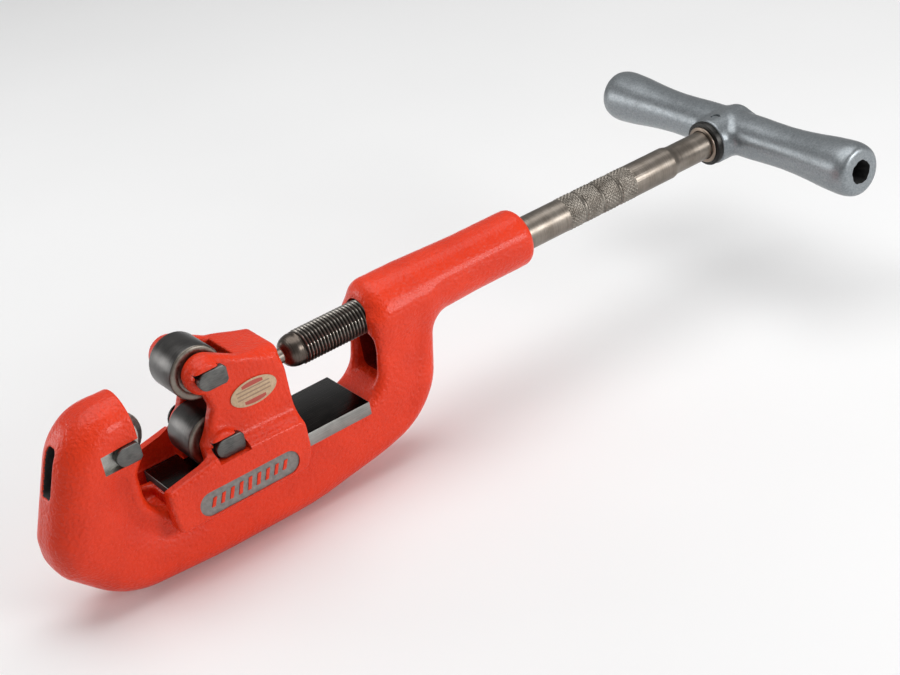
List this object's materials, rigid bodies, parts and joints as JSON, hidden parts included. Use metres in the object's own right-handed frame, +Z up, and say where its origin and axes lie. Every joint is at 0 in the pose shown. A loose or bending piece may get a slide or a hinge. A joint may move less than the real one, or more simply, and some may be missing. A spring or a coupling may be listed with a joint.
{
  "type": "pipe cutter",
  "caption": "Heavy-duty pipe cutter: a cast C-frame with a cutter wheel, a slide with guide rollers, a threaded feed screw and a T-handle.",
  "frame": {"origin": "middle of the base of the whole cutter's bounding box, level with the underside of the frame's spine", "axes": "+X along the feed screw from the cutter wheel to the T-handle, +Y along the T-handle (the side away from the badge), +Z up from the spine to the screw"},
  "size_m": [0.4875, 0.204, 0.1207],
  "materials": {
    "frame_paint": "semi-gloss paint on a cast surface",
    "slide_paint": "semi-gloss paint on a cast surface",
    "handle_paint": "silver-grey hammered paint",
    "screw_steel": "satin",
    "roller_steel": "dark satin, hardened",
    "wheel_steel": "satin, ground",
    "pin_steel": "dark satin",
    "clip_steel": "blackened",
    "ring_steel": "satin",
    "label_foil": "satin printed foil"
  },
  "bodies": {
    "frame": {"frame": "frame_paint", "wheel_pin": "pin_steel", "wheel_pin_clip": "clip_steel"},
    "wheel": {"cutter_wheel": "wheel_steel"},
    "slide": {"slide_housing": "slide_paint", "upper_roller_pin": "pin_steel", "lower_roller_pin": "pin_steel", "upper_pin_clip": "clip_steel", "lower_pin_clip": "clip_steel", "oval_label": "label_foil", "thrust_button": "pin_steel", "nose_pin_left": "pin_steel", "nose_pin_right": "pin_steel"},
    "upper_roller": {"upper_roller": "roller_steel"},
    "lower_roller": {"lower_roller": "roller_steel"},
    "screw": {"feed_screw": "screw_steel", "t_handle": "handle_paint", "handle_cross_pin": "pin_steel", "handle_washer": "clip_steel", "handle_snap_ring": "ring_steel"}
  },
  "joints": [
    {"name": "slide_travel", "type": "slide", "parent": "frame", "child": "slide", "axis": [1, 0, 0], "range_m": [-0.0225, 0.042]},
    {"name": "screw_turn", "type": "hinge", "parent": "slide", "child": "screw", "pos_m": [-0.0445, 0, 0.0863], "axis": [1, 0, 0], "range_deg": [-4050, 7560]},
    {"name": "upper_roller_spin", "type": "hinge", "parent": "slide", "child": "upper_roller", "pos_m": [-0.1463, 0, 0.106], "axis": [0, 1, 0], "continuous": true},
    {"name": "lower_roller_spin", "type": "hinge", "parent": "slide", "child": "lower_roller", "pos_m": [-0.1463, 0, 0.0666], "axis": [0, 1, 0], "continuous": true},
    {"name": "cutter_wheel_spin", "type": "hinge", "parent": "frame", "child": "wheel", "pos_m": [-0.193, 0, 0.0858], "axis": [0, 1, 0], "continuous": true}
  ],
  "couplings": [
    {"joint": "screw_turn", "follows": "slide_travel", "rad_per_m": 3141.6}
  ]
}
